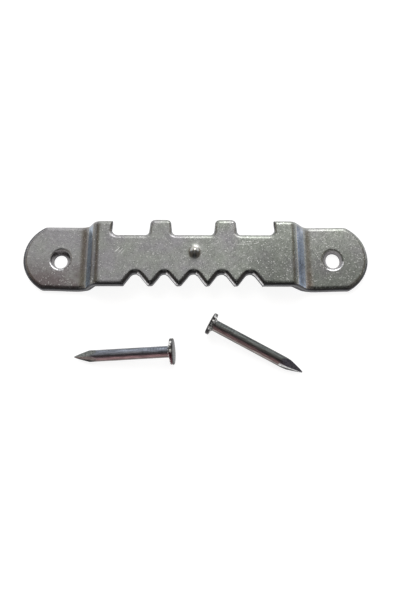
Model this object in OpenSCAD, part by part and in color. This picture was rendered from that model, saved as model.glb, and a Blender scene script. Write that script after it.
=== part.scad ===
// Sawtooth picture hanger with its two nails, laid out on a table.
// One stamped sheet steel plate stands on its two end tabs. Its middle strip is stepped up, so that
// a wall nail can pass behind it. The near edge has the saw teeth, the far edge the notches and lugs.
// X runs along the plate, Y from the saw teeth to the notches, and Z is up. The origin is midway
// between the two nail holes, on the plane that the tabs lie on.

/* [Plate] */
// Length over the rounded tab ends
plate_l = 45; // [38:0.5:60]
// Width between the straight edges
plate_w = 8.8; // [8:0.1:12]
// Thickness of the sheet
sheet_t = 1; // [0.6:0.05:1.4]
// How much the radius of the tab ends exceeds half the width
end_extra_r = 0.55; // [0.1:0.05:3]

/* [Step] */
// Length of each flat tab, from its end to the first bend
tab_l = 7.65; // [7:0.05:10]
// Height that the strip is raised above the tabs
rise = 2; // [1.2:0.1:3]
// Slope of the step between tab and strip
step_angle = 52; // [40:1:65]
// Inner radius of the bend at the strip
bend_r = 0.2; // [0.15:0.05:0.6]
// Inner radius of the bend at the tab
foot_bend_r = 1.1; // [0.4:0.1:1.4]

/* [Nail holes] */
// Diameter of the hole through the tab
hole_d = 1.9; // [1.6:0.1:2.4]
// Diameter of the hole's tapered mouth on the top face
mouth_d = 2.75; // [2.5:0.05:3.4]
// Depth of the tapered mouth
mouth_depth = 0.45; // [0.2:0.05:0.5]
// Distance from a tab's end to its hole
hole_inset = 4.8; // [4:0.1:5.5]
// Shift of the plate along itself, from the middle between its holes
plate_shift = -0.2; // [-0.5:0.1:0.5]

/* [Punched edges] */
// Shift of the notches and teeth along the plate, from its middle
punch_shift = -0.3; // [-0.6:0.1:0.6]
// Depth of the notches below the straight edge
notch_depth = 2; // [1.5:0.05:2.5]
// Radius at the foot of the middle lugs
notch_root_r = 0.55; // [0.2:0.05:0.7]
// Length of each end lug, from the step to the notch
end_lug_l = 1.65; // [1.2:0.05:3]
// Lean of the end lugs over the notch
end_lug_lean = 5; // [0:1:10]
// Radius of the end lugs' corners
end_lug_r = 0.15; // [0.05:0.05:0.4]
// Radius at the foot of the end lugs
end_root_r = 0.75; // [0.2:0.05:0.9]
// Width of a middle lug at half its height
lug_w = 2.8; // [2.4:0.05:3.4]
// Height of the middle lugs beyond the straight edge
lug_rise = 0.3; // [0:0.05:0.8]
// Slope of the middle lugs' sides
lug_taper = 6; // [0:1:10]
// Radius of the middle lugs' corners
lug_r = 0.65; // [0.2:0.05:0.9]

/* [Saw teeth] */
// Distance from tooth to tooth
tooth_pitch = 3.6; // [3:0.01:4.4]
// Slope of the teeth's flanks
tooth_flank = 54; // [44:1:58]
// Radius at the top of each arch
arch_r = 0.78; // [0.4:0.02:0.9]
// Radius of the tooth tips
tip_r = 0.48; // [0.2:0.02:0.6]
// Least straight edge beside the outer arches
saw_margin = 2.6; // [2:0.1:5]

/* [Pip] */
// Diameter of the raised pip in the middle
pip_d = 1.2; // [0.8:0.1:1.8]
// Height of the pip above the strip
pip_h = 0.4; // [0.2:0.05:0.5]
// Place of the pip along the plate, from its middle
pip_x = -0.1; // [-1:0.1:1]
// Diameter of the punch mark behind the pip
punch_d = 0.9; // [0.5:0.1:1.2]
// Depth of the punch mark behind the pip
punch_depth = 0.45; // [0.2:0.05:0.5]

/* [Nails] */
// Diameter of the wire
nail_d = 1.45; // [1.2:0.05:1.5]
// Length of the left nail, head included
left_nail_l = 12.4; // [10:0.1:16]
// Length of the right nail, head included
right_nail_l = 13; // [10:0.1:16]
// Diameter of the left nail's head
left_head_d = 3.3; // [2.8:0.1:4]
// Diameter of the right nail's head
right_head_d = 2.9; // [2.8:0.1:4]
// Thickness of the heads
head_t = 0.55; // [0.4:0.05:0.8]
// Bevel round the rim of the heads
rim_bevel = 0.14; // [0.05:0.01:0.18]
// Flare of the shank under the head
head_flare = 0.3; // [0.1:0.05:0.5]
// Length of the four flats of the diamond point
point_l = 2.8; // [2:0.1:4]

/* [Nail places] */
// Distance from the origin to the left nail's point, along the plate
left_point_x = 15.05; // [10:0.05:18]
// Distance from the toothed edge to the left nail's point
left_point_gap = 8.8; // [7:0.1:14]
// Turn of the left nail on the table
left_nail_turn = 2; // [-8:1:8]
// Roll of the left nail's flats
left_nail_roll = 22; // [0:1:90]
// Distance from the origin to the right nail's point, along the plate
right_point_x = 13.05; // [12:0.05:18]
// Distance from the toothed edge to the right nail's point
right_point_gap = 10.7; // [9:0.1:16]
// Turn of the right nail on the table
right_nail_turn = 152; // [150:1:165]
// Roll of the right nail's flats
right_nail_roll = 68; // [0:1:90]

/* [Hidden] */
$fn = 96;

// How far a cutter runs past the surface it cuts
overrun = 1;
// Straight pieces in each rounded corner of an outline
corner_steps = 8;

// The step, as corners of the sheet before they are rounded: outer face of the bends at the top
end_r = plate_w / 2 + end_extra_r;
end_centre_x = plate_l / 2 - end_r;
foot_x = plate_l / 2 - tab_l - foot_bend_r * tan(step_angle / 2);
shoulder_x = foot_x - rise / tan(step_angle);
flat_x = shoulder_x - (bend_r + sheet_t) * tan(step_angle / 2);
under_shift = sheet_t * tan(step_angle / 2);
strip_z = rise + sheet_t;
hole_x = plate_l / 2 - hole_inset;

// The notched edge
far_y = plate_w / 2;
floor_y = far_y - notch_depth;
lug_y = far_y + lug_rise;
notch_x = flat_x - end_lug_l;
end_lean = notch_depth / 2 * tan(end_lug_lean);
lug_slant = (lug_y - floor_y) / 2 * tan(lug_taper);
// Share of the notched length between the two middle lugs' centres
lug_place_share = 0.4;
lug_x = lug_place_share * notch_x;
outer_notch_w = notch_x - lug_x - lug_w / 2;
foot_r = min(notch_root_r, outer_notch_w / 3);
end_foot_r = min(end_root_r, outer_notch_w / 3);

// The toothed edge
near_y = -plate_w / 2;
arches = floor(2 * (flat_x - saw_margin) / tooth_pitch);
tip_y = near_y - tip_r * (1 / cos(tooth_flank) - 1);
arch_y = tip_y + tooth_pitch / 2 * tan(tooth_flank);
arch_out = (arch_y - near_y) / tan(tooth_flank);

// The pip is the cap of a ball that is mostly inside the sheet
pip_ball_r = (pow(pip_d / 2, 2) + pow(pip_h, 2)) / (2 * pip_h);

// Points of an arc of radius r that rounds the corner at b, between a and c
function corner_arc(a, b, c, r) =
    let (to_a = (a - b) / norm(a - b))
    let (to_c = (c - b) / norm(c - b))
    let (half = acos(to_a * to_c) / 2)
    let (middle = b + (to_a + to_c) / norm(to_a + to_c) * r / sin(half))
    let (from = b + to_a * r / tan(half) - middle)
    let (upto = b + to_c * r / tan(half) - middle)
    let (start = atan2(from.y, from.x))
    let (sweep = (atan2(upto.y, upto.x) - start + 540) % 360 - 180)
    [for (i = [0:corner_steps]) let (at = start + sweep * i / corner_steps) middle + r * [cos(at), sin(at)]];

// An outline from its corners, each given as [x, y, radius]
function rounded(corners) =
    let (n = len(corners))
    let (p = [for (c = corners) [c.x, c.y]])
    [for (i = [0:n - 1]) each corners[i].z > 0
        ? corner_arc(p[(i + n - 1) % n], p[i], p[(i + 1) % n], corners[i].z)
        : [p[i]]];

// Half of the stepped sheet seen from the front, right side, from the top face round to the bottom
function step_corners() = [
    [shoulder_x, strip_z, bend_r + sheet_t],
    [foot_x, sheet_t, foot_bend_r],
    [plate_l / 2 + overrun, sheet_t, 0],
    [plate_l / 2 + overrun, 0, 0],
    [foot_x - under_shift, 0, foot_bend_r + sheet_t],
    [shoulder_x - under_shift, rise, bend_r]
];

// The same corners on the left side, in the reverse order
function mirrored(corners) = [for (i = [len(corners) - 1:-1:0]) [-corners[i].x, corners[i].y, corners[i].z]];

function notch_end_corners() = [
    [notch_x - end_lean, far_y, end_lug_r],
    [notch_x + end_lean, floor_y, end_foot_r],
    [lug_x + lug_w / 2 + lug_slant, floor_y, foot_r],
    [lug_x + lug_w / 2 - lug_slant, lug_y, lug_r],
    [lug_x - lug_w / 2 + lug_slant, lug_y, lug_r],
    [lug_x - lug_w / 2 - lug_slant, floor_y, foot_r]
];

function arch_x(i) = (i - (arches - 1) / 2) * tooth_pitch;

function saw_corners() = [
    [arch_x(0) - arch_out, near_y, 0],
    for (i = [0:arches - 1]) each i < arches - 1
        ? [[arch_x(i), arch_y, arch_r], [arch_x(i) + tooth_pitch / 2, tip_y, tip_r]]
        : [[arch_x(i), arch_y, arch_r]],
    [arch_x(arches - 1) + arch_out, near_y, 0]
];

function shifted(corners, x) = [for (c = corners) [c.x + x, c.y, c.z]];

// The flat outline between the centres of the two rounded ends
module punched_outline() {
    polygon(rounded(concat(
        [[-end_centre_x, near_y, 0]],
        shifted(saw_corners(), punch_shift),
        [[end_centre_x, near_y, 0], [end_centre_x, far_y, 0]],
        shifted(concat(notch_end_corners(), mirrored(notch_end_corners())), punch_shift),
        [[-end_centre_x, far_y, 0]]
    )));
}

module tab_ends() {
    intersection() {
        union() {
            for (side = [-1, 1])
                translate([side * end_centre_x, 0])
                    circle(r = end_r);
        }
        square([plate_l + overrun, plate_w], center = true);
    }
}

module stepped_sheet() {
    rotate([90, 0, 0])
        linear_extrude(height = plate_w + 2 * (lug_rise + overrun), center = true)
            polygon(rounded(concat(step_corners(), mirrored(step_corners()))));
}

module nail_hole() {
    translate([0, 0, -overrun])
        cylinder(d = hole_d, h = sheet_t + 2 * overrun);
    translate([0, 0, sheet_t - mouth_depth])
        cylinder(d1 = hole_d, d2 = mouth_d, h = mouth_depth);
    translate([0, 0, sheet_t])
        cylinder(d = mouth_d, h = overrun);
}

module hanger_plate() {
    color("darkgray")
        difference() {
            translate([plate_shift, 0, 0])
                union() {
                    intersection() {
                        stepped_sheet();
                        translate([0, 0, -overrun])
                            linear_extrude(height = strip_z + 2 * overrun)
                                union() {
                                    punched_outline();
                                    tab_ends();
                                }
                    }
                    translate([pip_x, 0, strip_z + pip_h - pip_ball_r])
                        sphere(r = pip_ball_r);
                }
            for (side = [-1, 1])
                translate([side * hole_x, 0, 0])
                    nail_hole();
            translate([plate_shift + pip_x, 0, rise - overrun])
                cylinder(d = punch_d, h = punch_depth + overrun);
        }
}

// Half of the nail's section, as [radius, distance from the point]
module nail_section(length, head_d) {
    under_head = length - head_t;
    polygon([
        [0, 0],
        [nail_d / 2, 0],
        [nail_d / 2, under_head - head_flare],
        [nail_d / 2 + head_flare, under_head],
        [head_d / 2 - rim_bevel, under_head],
        [head_d / 2, under_head + rim_bevel],
        [head_d / 2, length - rim_bevel],
        [head_d / 2 - rim_bevel, length],
        [0, length]
    ]);
}

// A wedge that keeps the head whole and leaves two flats on the point
module point_wedge(length, head_d) {
    clear_share = 1.4;
    rotate([90, 0, 0])
        linear_extrude(height = head_d + overrun, center = true)
            polygon([
                [0, 0],
                [clear_share * nail_d / 2, clear_share * point_l],
                [head_d, length - head_t - head_flare],
                [head_d, length + overrun],
                [-head_d, length + overrun],
                [-head_d, length - head_t - head_flare],
                [-clear_share * nail_d / 2, clear_share * point_l]
            ]);
}

// A nail with its point at the origin, along +Z
module nail(length, head_d, roll) {
    intersection() {
        rotate_extrude()
            nail_section(length, head_d);
        rotate([0, 0, roll])
            point_wedge(length, head_d);
        rotate([0, 0, roll + 90])
            point_wedge(length, head_d);
    }
}

// A nail lying on the table, on the rim of its head and on its shank where the flats begin
module lying_nail(length, head_d, roll) {
    shank_from = point_l * max(abs(cos(roll)), abs(sin(roll)));
    tilt = atan((head_d - nail_d) / 2 / (length - head_t + rim_bevel - shank_from));
    translate([0, 0, nail_d / 2 * cos(tilt) - shank_from * sin(tilt)])
        rotate([0, 90 - tilt, 0])
            nail(length, head_d, roll);
}

module nail_left() {
    color("slategray")
        translate([-left_point_x, near_y - left_point_gap, 0])
            rotate([0, 0, left_nail_turn])
                lying_nail(left_nail_l, left_head_d, left_nail_roll);
}

module nail_right() {
    color("slategray")
        translate([right_point_x, near_y - right_point_gap, 0])
            rotate([0, 0, right_nail_turn])
                lying_nail(right_nail_l, right_head_d, right_nail_roll);
}

hanger_plate();
nail_left();
nail_right();
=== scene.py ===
import math

import bpy
import numpy as np
from mathutils import Matrix, Vector
from mathutils.geometry import delaunay_2d_cdt


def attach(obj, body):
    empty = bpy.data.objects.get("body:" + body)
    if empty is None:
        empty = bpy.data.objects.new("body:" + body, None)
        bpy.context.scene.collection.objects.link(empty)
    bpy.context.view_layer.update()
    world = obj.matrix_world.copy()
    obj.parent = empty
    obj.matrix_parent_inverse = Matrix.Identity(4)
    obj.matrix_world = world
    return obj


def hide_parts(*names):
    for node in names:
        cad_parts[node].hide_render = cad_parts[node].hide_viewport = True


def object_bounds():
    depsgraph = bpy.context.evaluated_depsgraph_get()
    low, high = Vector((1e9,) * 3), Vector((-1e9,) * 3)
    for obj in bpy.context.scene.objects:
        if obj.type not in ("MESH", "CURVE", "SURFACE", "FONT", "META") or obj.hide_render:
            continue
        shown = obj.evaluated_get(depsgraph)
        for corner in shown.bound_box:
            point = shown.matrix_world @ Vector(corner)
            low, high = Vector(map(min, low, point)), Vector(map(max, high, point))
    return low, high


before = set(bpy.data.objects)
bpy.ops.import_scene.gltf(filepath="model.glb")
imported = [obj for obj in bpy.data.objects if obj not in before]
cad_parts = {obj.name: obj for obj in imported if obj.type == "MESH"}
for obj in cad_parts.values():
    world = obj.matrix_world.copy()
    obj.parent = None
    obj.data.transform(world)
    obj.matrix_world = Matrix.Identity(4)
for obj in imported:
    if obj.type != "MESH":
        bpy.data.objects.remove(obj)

cad_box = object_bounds()
MM = 0.001
rng = np.random.default_rng(7)

# The plate's driving sizes, in millimetres. It lies a little left of the middle, its cut edges further left
PLATE_L = 45.0
PLATE_W = 8.8
SHEET_T = 1.0
RISE = 2.0
BEND_R = 0.2
TAB_L = 7.65
END_MORE = 0.55
END_FILLET = 0.8
HOLE_X = 17.7
NOTCH_X = 10.5
PLATE_SHIFT = -0.2
PUNCH_SHIFT = -0.3

# What follows from them. The ends stay a little inside the box
NEAR_Y = -PLATE_W / 2
FAR_Y = PLATE_W / 2
STRIP_Z = RISE + SHEET_T
FOOT_END = PLATE_L / 2 - TAB_L
END_R = PLATE_W / 2 + END_MORE
END_INSET = 0.03
END_X = PLATE_L / 2 - END_R - END_INSET

# The near edge: arches at a pitch with teeth between them, and how far the punch strayed at each
PITCH = 3.6
ARCHES = 5
FLANK_A = math.radians(54)
ARCH_R = 0.78
TIP_R = 0.48
SAW_END_R = 0.12
WOBBLE = (0.01, -0.02, 0.0, 0.02, -0.01)
# How far each flank is off its pitch, by its place, and how far off the middle line this starts
FLANK_OFF = [(-10.2, 0), (-9.0, -0.05), (-6.9, -0.13), (-4.8, 0.09), (-3.3, -0.08), (-1.2, 0.13),
             (0.9, 0.04), (2.4, 0.04), (4.5, 0.09), (6.0, 0.08), (8.1, 0.1), (10.2, 0)]
FLANK_FROM = 1.5

# The far edge: a wide notch with leaning ends, and two lugs on its floor
NOTCH_DEEP = 2.0
NOTCH_LEAN = math.radians(5)
NOTCH_TOP_R = 0.15
NOTCH_FOOT_R = 0.75
LUG_SHARE = 0.4
LUG_W = 2.8
LUG_RISE = 0.18
LUG_LEAN = math.radians(6)
LUG_FOOT_R = 0.55
LUG_TIP_R = 0.65

# The far edge lies further out than the near one, and still further on the left and the right tab, where the
# near edge draws in. Each shift is full from SHIFT_ZONE off the middle line
SHIFT_ZONE = 2
FAR_OUT = 0.12
TAB_RUN = 5
TAB_FAR_OUT = (0.03, 0.05)
TAB_NEAR_IN = 0.12

# The two steps are not quite alike: where each face leaves the strip, its slope and its shoulder
STEPS = {
    ("top", -1): dict(flat_x=12.22, slope=math.radians(57), shoulder_r=1.35),
    ("top", 1): dict(flat_x=12.2, slope=math.radians(50), shoulder_r=1.2),
    ("low", -1): dict(flat_x=12.55, slope=math.radians(57), shoulder_r=BEND_R),
    ("low", 1): dict(flat_x=12.1, slope=math.radians(47), shoulder_r=BEND_R),
}
# The bend at the foot is tight at the slope, then wide where it runs out on the tab
TIGHT_R = 0.15
WIDE_MORE = 2.2
WIDE_A = math.radians(28)
FACES = {
    "top": dict(strip=STRIP_Z, tab=SHEET_T, foot_r=TIGHT_R),
    "low": dict(strip=RISE, tab=0.0, foot_r=TIGHT_R + SHEET_T),
}

# The rounding of the top edges: its slope in degrees at shares of its width, edge first
ROLL_SLOPE = [(0, 58), (0.1, 45), (0.3, 32), (0.6, 25), (0.75, 20), (0.9, 10), (1, 0)]
# Its width on the near edge, on the straight stretches beside the steps, on the far edge, and where an edge
# faces sideways beside the lugs and at the plate's ends
ROLL = 0.6
ROLL_STRAIGHT = 0.5
ROLL_FAR = 0.58
ROLL_BESIDE = 0.24
ROLL_END = 0.5
STRAIGHT_X = (9.7, 13)
ROLL_SMOOTHINGS = 3

# The bare rim along the top edges, darkened with painted shade, and the band of painted shade inside it on
# the teeth's flanks and the plate's ends
RIM_NEAR = 0.12
RIM_STRAIGHT = 0.21
RIM_FAR = 0.05
SHADE_TEETH = 0.47
SHADE_LEFT_END = 0.3
SHADE_RIGHT_END = 0.22
TEETH_X = 11
ROUND_END_X = 16
# What counts as which edge, by the sideways and the far part of its outward normal
LEANING = 0.3
TEETH_FAR_N = -0.25
END_FAR_N = -0.15
RIM_STRAIGHT_N = -0.9
ROLL_STRAIGHT_N = -0.95

# The materials by number, and the cut wall's rows: share of its height, how far it is set in, material
FACE, SHEARED, TORN, BRIGHT, MOUTH, SHADED = range(6)
WALL_ROWS = [(0.1, 0.0, SHEARED), (0.3, 0.004, SHEARED), (0.38, 0.016, TORN), (0.5, 0.03, TORN),
             (0.62, 0.035, TORN), (0.74, 0.04, TORN), (0.86, 0.045, TORN), (0.95, 0.05, TORN),
             (1.0, 0.07, TORN)]
TORN_ROUGH = 0.012
BRIGHT_SHARE = 0.45
BRIGHT_FOOT = 0.01

# The pip, with a softer and longer near side, and the punch's mark below it
PIP = np.array([-0.1, 0.0])
PIP_TOP = PIP + (0, 0.1)
PIP_WIDE = 0.52
PIP_FAR = 0.6
PIP_NEAR = 0.9
PIP_H = 0.4
PIP_POWER = 2.1
DIMPLE_R = 0.45
DIMPLE_H = 0.42
DIMPLE_POWER = 3

# How fine the plate's mesh is, and how clear its grid stays of the details
ARC_STEP = 0.05
ARC_LEAST = 6
EDGE_STEP = 0.2
FILLET_PIECES = 12
END_PIECES = 90
RINGS = [0.02, 0.05, 0.09, 0.14, 0.2, 0.26, 0.32, 0.38, 0.44, 0.5, 0.55, 0.6, 0.66, 0.8]
RING_FINE = 0.3
RING_KEPT = 0.97
GRID_X = (-22.2, 22.3, 0.62)
GRID_Y = (-4.3, 4.8, 0.42)
GRID_STAGGER = 0.2
BEND_X = (12.0, 15.4, 0.08)
BEND_CLEAR = (0.3, 0.2)
EDGE_CLEAR = 0.32
MOUTH_CLEAR = 0.35
LOW_CLEAR = 0.3
HOLE_STEPS = 72
LIP_RINGS = ((0.04, HOLE_STEPS), (0.2, HOLE_STEPS // 2))
PIP_RINGS = np.linspace(0.08, PIP_NEAR * 2, 18)
DIMPLE_RINGS = (0.1, 0.2, 0.28, 0.35, 0.4, 0.45, 0.5, 0.62)
PIP_CLEAR = PIP_NEAR * 2.2
PIP_PIECES = 36
DIMPLE_PIECES = 20
ROLL_SAMPLES = 101
SAME_POINT = 1e-6
MERGE = 1e-7
THIN = 1e-9
BATCH = 2000


# Meshes
def ring_faces(upper, lower, outwards):
    """Faces between two rings of points, out of their loop or into it."""
    n = len(upper)
    after = [(i + 1) % n for i in range(n)]
    if outwards:
        return [[upper[j], upper[i], lower[i], lower[j]] for i, j in enumerate(after)]
    return [[upper[i], upper[j], lower[j], lower[i]] for i, j in enumerate(after)]


class Skin:
    """The points, faces and faces' materials of one mesh, gathered part by part."""

    def __init__(self):
        self.rows = []
        self.count = 0
        self.faces = []
        self.kinds = []

    def add(self, points):
        """Adds points and returns their numbers."""
        self.rows.append(points)
        self.count += len(points)
        return list(range(self.count - len(points), self.count))

    def join(self, upper, lower, kinds, outwards=False):
        self.faces += ring_faces(upper, lower, outwards)
        self.kinds += kinds

    def points(self):
        return np.concatenate(self.rows)


def link_object(name, data):
    obj = bpy.data.objects.new(name, data)
    bpy.context.scene.collection.objects.link(obj)
    return obj


def new_object(name, verts, faces, kinds, materials, sharp):
    """A smooth object, but for the edges sharper than an angle in degrees."""
    mesh = bpy.data.meshes.new(name)
    mesh.from_pydata([tuple(v) for v in verts], [], faces)
    for m in materials:
        mesh.materials.append(m)
    mesh.polygons.foreach_set("material_index", kinds)
    mesh.polygons.foreach_set("use_smooth", [True] * len(faces))
    mesh.validate()
    mesh.update()
    mesh.set_sharp_from_angle(angle=math.radians(sharp))
    return link_object(name, mesh)


# The plate's outline
def unit(v):
    return v / np.hypot(*v)


def corner_arc(a, b, c, r):
    """Points of the arc that rounds the corner b between a and c."""
    a, b, c = (np.array(p, float) for p in (a, b, c))
    to_a, to_c = unit(a - b), unit(c - b)
    half = math.acos(float(np.clip(to_a @ to_c, -1, 1))) / 2
    middle = b + unit(to_a + to_c) * r / math.sin(half)
    first = b + to_a * r / math.tan(half) - middle
    last = b + to_c * r / math.tan(half) - middle
    start = math.atan2(first[1], first[0])
    sweep = (math.atan2(last[1], last[0]) - start + 3 * math.pi) % (2 * math.pi) - math.pi
    n = max(ARC_LEAST, int(abs(sweep) * r / ARC_STEP))
    at = start + sweep * np.arange(n + 1) / n
    return middle + r * np.stack([np.cos(at), np.sin(at)], 1)


def rounded(corners):
    """A closed loop of points from corners, each with its radius."""
    out = []
    n = len(corners)
    for i, (x, y, r) in enumerate(corners):
        if r > 0:
            out.extend(corner_arc(corners[i - 1][:2], (x, y), corners[(i + 1) % n][:2], r))
        else:
            out.append(np.array([x, y]))
    return out


def split_long(loop, longest):
    """The loop with its long pieces split and its doubled points left out."""
    out = []
    n = len(loop)
    for i in range(n):
        a, b = loop[i], loop[(i + 1) % n]
        gap = float(np.hypot(*(b - a)))
        if gap < SAME_POINT:
            continue
        k = max(1, int(math.ceil(gap / longest)))
        out.extend(a + (b - a) * j / k for j in range(k))
    return np.array(out)


def arc_points(x, y, r, angles):
    return [(x + r * math.cos(a), y + r * math.sin(a)) for a in angles]


def end_arc(side):
    """The plate's round end, with the fillets that join it to the long edges."""
    fillet_y = PLATE_W / 2 - END_FILLET
    fillet_x = math.sqrt((END_R - END_FILLET) ** 2 - fillet_y ** 2)
    lean = math.atan2(fillet_y, fillet_x)
    pts = arc_points(fillet_x, -fillet_y, END_FILLET, np.linspace(-math.pi / 2, -lean, FILLET_PIECES))
    pts += arc_points(0, 0, END_R, np.linspace(-lean, lean, END_PIECES)[1:-1])
    pts += arc_points(fillet_x, fillet_y, END_FILLET, np.linspace(lean, math.pi / 2, FILLET_PIECES))
    return side * (np.array(pts) + (END_X, 0))


def near_corners():
    """Corners of the sawtooth edge from left to right, each with its radius."""
    tip_y = NEAR_Y - TIP_R * (1 / math.cos(FLANK_A) - 1)
    arch_y = tip_y + PITCH / 2 * math.tan(FLANK_A)
    last_x = (ARCHES - 1) / 2 * PITCH
    arch_out = (arch_y - NEAR_Y) / math.tan(FLANK_A)
    saw = [(-last_x - arch_out, NEAR_Y, SAW_END_R)]
    for i in range(ARCHES):
        x = (i - (ARCHES - 1) / 2) * PITCH
        saw.append((x + WOBBLE[i], arch_y + WOBBLE[-i], ARCH_R))
        if i < ARCHES - 1:
            saw.append((x + PITCH / 2 + WOBBLE[-i], tip_y, TIP_R))
    saw.append((last_x + arch_out, NEAR_Y, SAW_END_R))
    return saw


def far_corners():
    """Corners of the notched edge from right to left, each with its radius."""
    floor_y, lug_y = FAR_Y - NOTCH_DEEP, FAR_Y + LUG_RISE
    end_lean = NOTCH_DEEP / 2 * math.tan(NOTCH_LEAN)
    slant = (lug_y - floor_y) / 2 * math.tan(LUG_LEAN)
    lug_x = LUG_SHARE * NOTCH_X
    half = [(NOTCH_X - end_lean, FAR_Y, NOTCH_TOP_R), (NOTCH_X + end_lean, floor_y, NOTCH_FOOT_R),
            (lug_x + LUG_W / 2 + slant, floor_y, LUG_FOOT_R), (lug_x + LUG_W / 2 - slant, lug_y, LUG_TIP_R),
            (lug_x - LUG_W / 2 + slant, lug_y, LUG_TIP_R), (lug_x - LUG_W / 2 - slant, floor_y, LUG_FOOT_R)]
    return half + [(-x, y, r) for x, y, r in reversed(half)]


def long_edge(corners, side):
    """Points of a long edge between two plain corners that stand in for the tabs."""
    x, y = side * ROUND_END_X, side * PLATE_W / 2
    cut = [(at + PUNCH_SHIFT, height, r) for at, height, r in corners]
    return rounded([(x, y, 0)] + cut + [(-x, y, 0)])[1:-1]


def punched_loop():
    """The plate's outline, counterclockwise."""
    loop = long_edge(near_corners(), -1) + list(end_arc(1)) + long_edge(far_corners(), 1) + list(end_arc(-1))
    x, y = split_long(loop, EDGE_STEP).T
    on_tab = np.clip((np.abs(x) - FOOT_END) / TAB_RUN, 0, 1)
    on_tab = on_tab * on_tab * (3 - 2 * on_tab)
    off = np.interp(x, *np.array(FLANK_OFF).T) * np.clip(-y - FLANK_FROM, 0, 1)
    far = np.clip(y / SHIFT_ZONE, 0, 1) * (FAR_OUT + np.where(x < 0, *TAB_FAR_OUT) * on_tab)
    near = np.clip(-y / SHIFT_ZONE, 0, 1) * TAB_NEAR_IN * on_tab
    return np.column_stack([x + off, y + far + near])


def loop_normals(loop):
    """Normals that point out of a counterclockwise loop."""
    t = np.roll(loop, -1, 0) - np.roll(loop, 1, 0)
    t /= np.hypot(t[:, 0], t[:, 1])[:, None]
    return np.stack([t[:, 1], -t[:, 0]], 1)


def loop_distance(pts, loop):
    """Distance of each point from a loop, and which of its pieces is nearest."""
    along = np.roll(loop, -1, 0) - loop
    length2 = (along ** 2).sum(1)
    out, nearest = np.empty(len(pts)), np.empty(len(pts), int)
    for i in range(0, len(pts), BATCH):
        p = pts[i:i + BATCH, None, :] - loop[None]
        t = np.clip((p * along[None]).sum(2) / length2, 0, 1)
        d2 = ((p - t[..., None] * along[None]) ** 2).sum(2)
        nearest[i:i + BATCH] = d2.argmin(1)
        out[i:i + BATCH] = np.sqrt(d2.min(1))
    return out, nearest


def inside(pts, loop):
    """Which of the points lie inside a loop."""
    ax, ay = loop.T[:, None]
    bx, by = np.roll(loop, -1, 0).T[:, None]
    out = np.zeros(len(pts), bool)
    for i in range(0, len(pts), BATCH):
        x, y = pts[i:i + BATCH, 0][:, None], pts[i:i + BATCH, 1][:, None]
        cross = (ay > y) != (by > y)
        with np.errstate(divide="ignore", invalid="ignore"):
            at = ax + (y - ay) * (bx - ax) / (by - ay)
        out[i:i + BATCH] = ((x < at) & cross).sum(1) % 2 == 1
    return out


def roll_widths(loop, normals):
    """Width of the rounding at each point of the outline, evened out along it."""
    from_middle, far_n = np.abs(loop[:, 0]), normals[:, 1]
    sides = np.where(from_middle > STRAIGHT_X[1], ROLL_END, ROLL_BESIDE)
    straight = (far_n < ROLL_STRAIGHT_N) & (from_middle > STRAIGHT_X[0]) & (from_middle < STRAIGHT_X[1])
    near = np.where(straight, ROLL_STRAIGHT, ROLL)
    wide = sides + (np.where(far_n < 0, near, ROLL_FAR) - sides) * np.sqrt(np.abs(far_n))
    for _ in range(ROLL_SMOOTHINGS):
        wide = (np.roll(wide, 1) + wide + np.roll(wide, -1)) / 3
    return wide


def edge_bands(loop, normals):
    """Where the outline's wall is burnished and painted bright, and the widths of its rim and its band of
    painted shade.
    """
    x, side_n, far_n = loop[:, 0], normals[:, 0], normals[:, 1]
    leaning = np.abs(side_n) > LEANING
    toothed = (far_n < TEETH_FAR_N) & (np.abs(x) < TEETH_X)
    # of the teeth's flanks, only those that face left are burnished, and carry a painted highlight
    bright = toothed & leaning & (side_n < 0)
    rim = np.where(far_n < 0, RIM_NEAR, RIM_FAR)
    rim = np.where(far_n < RIM_STRAIGHT_N, RIM_STRAIGHT, rim)
    at_end = leaning & (np.abs(x) > ROUND_END_X)
    # painted shade inside the rim on the teeth's flanks and at the plate's ends
    painted_shade = np.where(toothed & leaning, SHADE_TEETH, 0.0)
    painted_shade = np.where(at_end & (x < 0), SHADE_LEFT_END, painted_shade)
    painted_shade = np.where(at_end & (x > 0) & (far_n < END_FAR_N), SHADE_RIGHT_END, painted_shade)
    return bright, rim, painted_shade


# Heights of the stepped sheet
def side_height(x, flat_x, slope, shoulder_r, strip, tab, foot_r):
    """Height of one face of the sheet at distance x from the plate's middle."""
    s, c = math.sin(slope), math.cos(slope)
    wide_s, wide_c = math.sin(WIDE_A), math.cos(WIDE_A)
    z = np.full(x.shape, float(strip))
    in_shoulder = x - flat_x
    shoulder = strip - shoulder_r + np.sqrt(np.clip(shoulder_r ** 2 - in_shoulder ** 2, 0, None))
    z = np.where(in_shoulder > 0, shoulder, z)
    line = strip - shoulder_r + shoulder_r * c - (in_shoulder - shoulder_r * s) * math.tan(slope)
    z = np.where(in_shoulder > shoulder_r * s, line, z)
    # where the tight arc of radius foot_r ends and the wide one begins
    wide_r = foot_r + WIDE_MORE
    wide_x, wide_z = wide_r * wide_s, tab + wide_r * (1 - wide_c)
    slope_drop = strip - shoulder_r * (1 - c) - wide_z - foot_r * (wide_c - c)
    end = flat_x + shoulder_r * s + slope_drop / math.tan(slope) + foot_r * (s - wide_s) + wide_x
    in_foot = end - x
    tight_mid_x = wide_x - foot_r * wide_s
    tight_mid_z = wide_z + foot_r * wide_c
    tight = tight_mid_z - np.sqrt(np.clip(foot_r ** 2 - (in_foot - tight_mid_x) ** 2, 0, None))
    z = np.where(in_foot < tight_mid_x + foot_r * s, tight, z)
    wide = tab + wide_r - np.sqrt(np.clip(wide_r ** 2 - in_foot ** 2, 0, None))
    z = np.where(in_foot < wide_x, wide, z)
    return np.where(in_foot < 0, float(tab), z)


def face_height(face, x):
    """Height of the top or the low face of the sheet."""
    left, right = (side_height(np.abs(x), **STEPS[face, side], **FACES[face]) for side in (-1, 1))
    return np.where(x < 0, left, right)


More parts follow.
